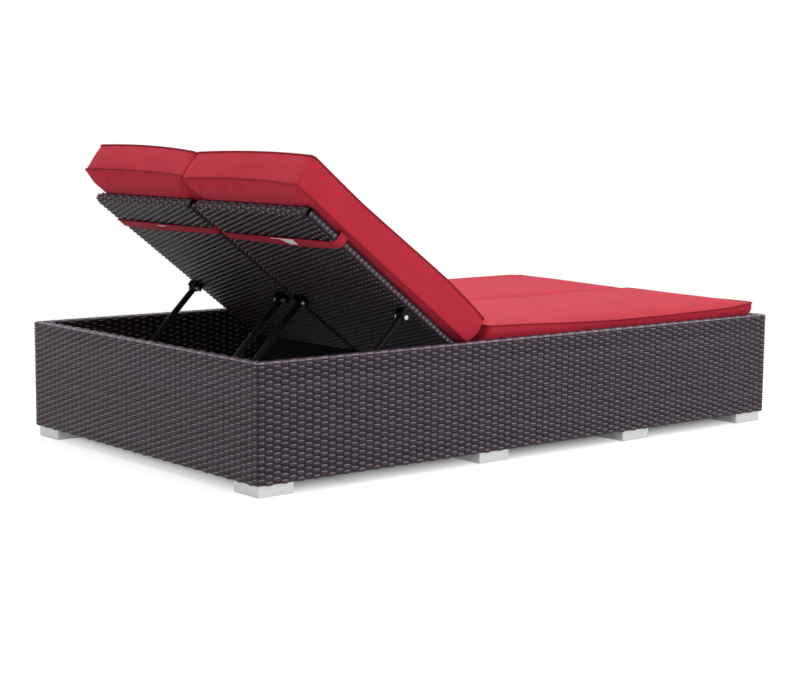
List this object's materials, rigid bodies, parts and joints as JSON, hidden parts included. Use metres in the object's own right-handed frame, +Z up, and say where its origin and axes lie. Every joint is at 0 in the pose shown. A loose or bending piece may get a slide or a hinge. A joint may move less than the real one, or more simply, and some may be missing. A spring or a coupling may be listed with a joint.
{
  "type": "double chaise lounger",
  "caption": "Low woven box daybed for two with side-by-side backrests that tilt on notched props, boxed cushions held by straps, and square plinth feet.",
  "frame": {"origin": "on the ground under the middle of the base", "axes": "+Y to the head end, +Z up, X across; left is +X for someone lying with the head at the head end"},
  "size_m": [1.165, 2, 0.8572],
  "materials": {
    "woven_resin": "woven resin strand, satin, dark espresso",
    "frame_tube": "dark powder coat",
    "dark_metal": "black powder coat, satin",
    "bright_steel": "plain zinc",
    "foot_alloy": "brushed, matt",
    "black_nylon": "plain moulded",
    "cushion_fabric": "woven outdoor canvas, red",
    "label_cloth": "plain white tape"
  },
  "bodies": {
    "base": {"side_top_rails": "frame_tube", "end_top_rails": "frame_tube", "side_bottom_rails": "frame_tube", "end_bottom_rails": "frame_tube", "seat_rails": "frame_tube", "corner_posts": "frame_tube", "wall_posts": "frame_tube", "seat_beams": "frame_tube", "hinge_beam": "frame_tube", "base_beams": "frame_tube", "rack_beams": "frame_tube", "centre_hinge_bracket": "dark_metal", "outer_hinge_brackets": "dark_metal", "prop_racks": "dark_metal", "hinge_pins": "bright_steel", "rack_screws": "bright_steel", "foot_screws": "bright_steel", "feet_left": "foot_alloy", "feet_right": "foot_alloy", "woven_side_left": "woven_resin", "woven_side_right": "woven_resin", "woven_head_end": "woven_resin", "woven_foot_end": "woven_resin", "seat_deck_left": "woven_resin", "seat_deck_right": "woven_resin", "seat_cushion_left": "cushion_fabric", "seat_cushion_right": "cushion_fabric"},
    "backrest_left": {"backrest_hinge_tube_left": "frame_tube", "backrest_frame_left": "frame_tube", "woven_back_tray_left": "woven_resin", "woven_back_front_left": "woven_resin", "hinge_bushes_left": "black_nylon", "clevis_brackets_left": "dark_metal", "pivot_bolts_left": "bright_steel", "pivot_nuts_left": "bright_steel", "pivot_washers_left": "black_nylon"},
    "prop_left": {"prop_arm_inner_left": "dark_metal", "prop_arm_outer_left": "dark_metal", "prop_foot_bar_left": "dark_metal"},
    "cushion_left": {"back_cushion_left": "cushion_fabric", "cushion_strap_left": "cushion_fabric", "strap_label_left": "label_cloth"},
    "backrest_right": {"backrest_hinge_tube_right": "frame_tube", "backrest_frame_right": "frame_tube", "woven_back_tray_right": "woven_resin", "woven_back_front_right": "woven_resin", "hinge_bushes_right": "black_nylon", "clevis_brackets_right": "dark_metal", "pivot_bolts_right": "bright_steel", "pivot_nuts_right": "bright_steel", "pivot_washers_right": "black_nylon"},
    "prop_right": {"prop_arm_inner_right": "dark_metal", "prop_arm_outer_right": "dark_metal", "prop_foot_bar_right": "dark_metal"},
    "cushion_right": {"back_cushion_right": "cushion_fabric", "cushion_strap_right": "cushion_fabric", "strap_label_right": "label_cloth"}
  },
  "joints": [
    {"name": "backrest_left_tilt", "type": "hinge", "parent": "base", "child": "backrest_left", "pos_m": [0.273, 0.2235, 0.274], "axis": [1, 0, 0], "range_deg": [-37.3, 10]},
    {"name": "prop_left_swing", "type": "hinge", "parent": "backrest_left", "child": "prop_left", "pos_m": [0.28, 0.47419, 0.42349], "axis": [1, 0, 0], "range_deg": [-17.7, 65.9]},
    {"name": "cushion_left_slide", "type": "slide", "parent": "backrest_left", "child": "cushion_left", "axis": [0, 0.7955, 0.606], "range_m": [-0.0822, 0.0222]},
    {"name": "backrest_right_tilt", "type": "hinge", "parent": "base", "child": "backrest_right", "pos_m": [-0.273, 0.2235, 0.274], "axis": [1, 0, 0], "range_deg": [-37.3, 10]},
    {"name": "prop_right_swing", "type": "hinge", "parent": "backrest_right", "child": "prop_right", "pos_m": [-0.28, 0.47419, 0.42349], "axis": [1, 0, 0], "range_deg": [-17.7, 65.9]},
    {"name": "cushion_right_slide", "type": "slide", "parent": "backrest_right", "child": "cushion_right", "axis": [0, 0.7955, 0.606], "range_m": [-0.0822, 0.0222]}
  ],
  "couplings": [
    {"joint": "prop_left_swing", "follows": "backrest_left_tilt", "ratio": -1.7635},
    {"joint": "cushion_left_slide", "follows": "backrest_left_tilt", "m_per_rad": 0.12596},
    {"joint": "prop_right_swing", "follows": "backrest_right_tilt", "ratio": -1.7635},
    {"joint": "cushion_right_slide", "follows": "backrest_right_tilt", "m_per_rad": 0.12596}
  ]
}
